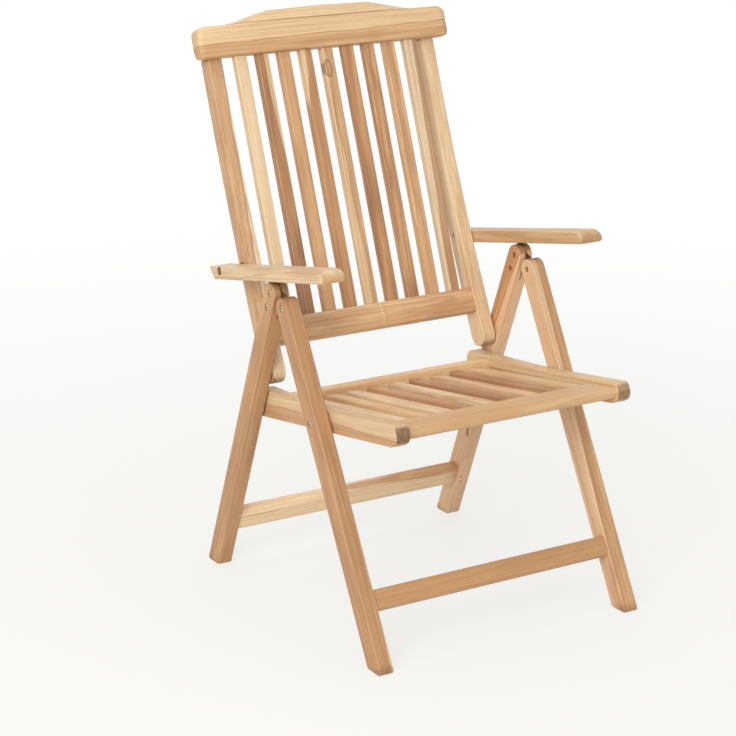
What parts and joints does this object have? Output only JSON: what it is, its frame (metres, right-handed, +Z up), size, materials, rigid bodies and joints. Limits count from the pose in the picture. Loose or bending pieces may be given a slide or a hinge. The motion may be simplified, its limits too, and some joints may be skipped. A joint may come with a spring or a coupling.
{
  "type": "folding teak armchair",
  "caption": "Folding slatted teak garden armchair: the legs fold together, the seat slides flat between them and the back reclines in notches under the armrests.",
  "frame": {"origin": "on the floor, under the middle of the open chair's bounding box", "axes": "+Z up, the sitter faces -Y, +X is the sitter's left; every hinge axis runs along X"},
  "size_m": [0.614, 0.7238, 1.0889],
  "materials": {
    "teak_frame": "sanded, oiled, unvarnished teak",
    "teak_pale": "sanded, oiled teak, pale sapwood",
    "teak_tan": "sanded, oiled teak",
    "teak_brown": "sanded, oiled teak, brown heartwood",
    "teak_dark": "sanded, oiled teak, darkest heartwood",
    "steel": "plain stainless steel"
  },
  "bodies": {
    "rear_frame": {"rear_leg_left": "teak_frame", "rear_leg_right": "teak_frame", "rear_stretcher": "teak_frame", "hinge_plate_left": "steel", "hinge_plate_right": "steel", "plate_bolt_upper_left": "steel", "plate_bolt_upper_right": "steel", "plate_bolt_lower_left": "steel", "plate_bolt_lower_right": "steel", "rest_pin_left": "steel", "rest_pin_right": "steel", "back_pivot_pin_left": "steel", "back_pivot_pin_right": "steel"},
    "front_frame": {"front_leg_left": "teak_frame", "front_leg_right": "teak_frame", "front_stretcher": "teak_frame", "leg_hinge_bolt_left": "steel", "leg_hinge_bolt_right": "steel"},
    "seat": {"seat_side_rail_left": "teak_frame", "seat_side_rail_right": "teak_frame", "seat_front_rail": "teak_frame", "seat_rear_rail": "teak_frame", "seat_slat_1": "teak_pale", "seat_slat_2": "teak_dark", "seat_slat_3": "teak_tan", "seat_slat_4": "teak_tan", "seat_slat_5": "teak_pale", "seat_slat_6": "teak_brown", "seat_slat_7": "teak_brown", "seat_slat_8": "teak_tan", "seat_slat_9": "teak_pale", "seat_pivot_bolt_left": "steel", "seat_pivot_bolt_right": "steel", "seat_pivot_washer_left": "steel", "seat_pivot_washer_right": "steel", "seat_slide_pin_left": "steel", "seat_slide_pin_right": "steel"},
    "back": {"back_stile_left": "teak_frame", "back_stile_right": "teak_frame", "crest_rail": "teak_frame", "lower_back_rail": "teak_frame", "back_slat_1": "teak_pale", "back_slat_2": "teak_dark", "back_slat_3": "teak_tan", "back_slat_4": "teak_tan", "back_slat_5": "teak_pale", "back_slat_6": "teak_brown", "back_slat_7": "teak_brown", "back_slat_8": "teak_tan", "back_slat_9": "teak_pale", "armrest_bolt_left": "steel", "armrest_bolt_right": "steel", "armrest_washer_left": "steel", "armrest_washer_right": "steel", "back_pivot_washer_left": "steel", "back_pivot_washer_right": "steel"},
    "left_arm": {"armrest_left": "teak_frame"},
    "right_arm": {"armrest_right": "teak_frame"}
  },
  "joints": [
    {"name": "leg_fold", "type": "hinge", "parent": "rear_frame", "child": "front_frame", "pos_m": [0, -0.01324, 0.5996], "axis": [1, 0, 0], "range_deg": [0, 50.6]},
    {"name": "seat_fold", "type": "hinge", "parent": "front_frame", "child": "seat", "pos_m": [0, -0.114, 0.40531], "axis": [1, 0, 0], "range_deg": [-104.95, 0]},
    {"name": "recline", "type": "hinge", "parent": "rear_frame", "child": "back", "pos_m": [0, 0.10398, 0.43604], "axis": [-1, 0, 0], "range_deg": [0, 25]},
    {"name": "armrest_left_pivot", "type": "hinge", "parent": "back", "child": "left_arm", "pos_m": [0.28225, 0.19636, 0.62609], "axis": [1, 0, 0], "range_deg": [0, 15.6]},
    {"name": "armrest_right_pivot", "type": "hinge", "parent": "back", "child": "right_arm", "pos_m": [-0.28225, 0.19636, 0.62609], "axis": [1, 0, 0], "range_deg": [0, 15.6]}
  ],
  "couplings": [
    {"joint": "seat_fold", "follows": "leg_fold", "ratio": -2.073},
    {"joint": "armrest_left_pivot", "follows": "recline", "ratio": 0.62},
    {"joint": "armrest_right_pivot", "follows": "recline", "ratio": 0.62}
  ]
}
